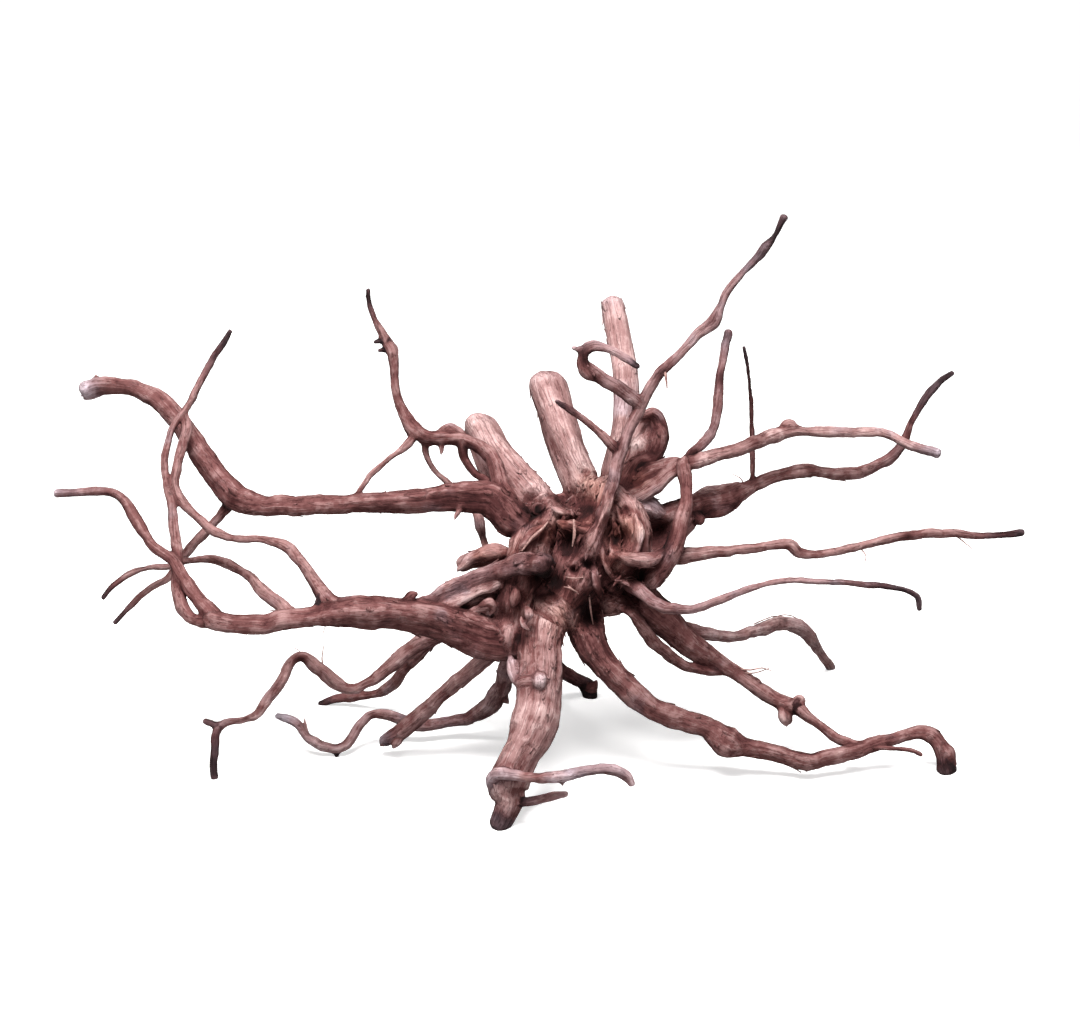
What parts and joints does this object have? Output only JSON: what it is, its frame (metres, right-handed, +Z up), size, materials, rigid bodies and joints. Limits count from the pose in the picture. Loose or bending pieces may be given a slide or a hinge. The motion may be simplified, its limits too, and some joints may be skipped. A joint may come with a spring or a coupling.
{
  "type": "branching root wood",
  "caption": "Bare branching root crown of reddish-brown wood with sawn stems and long bent roots, standing on its root tips as an aquarium or terrarium ornament.",
  "frame": {"origin": "on the surface the wood stands on, under the middle of its outline", "axes": "+X to the right along the longest roots, +Y to the back, +Z up; the front leg comes forward to -Y"},
  "size_m": [0.4924, 0.1989, 0.2736],
  "materials": {
    "wood": "matt, bare and weathered, with long grain"
  },
  "bodies": {
    "root": {"snake_wood": "wood"}
  },
  "joints": []
}
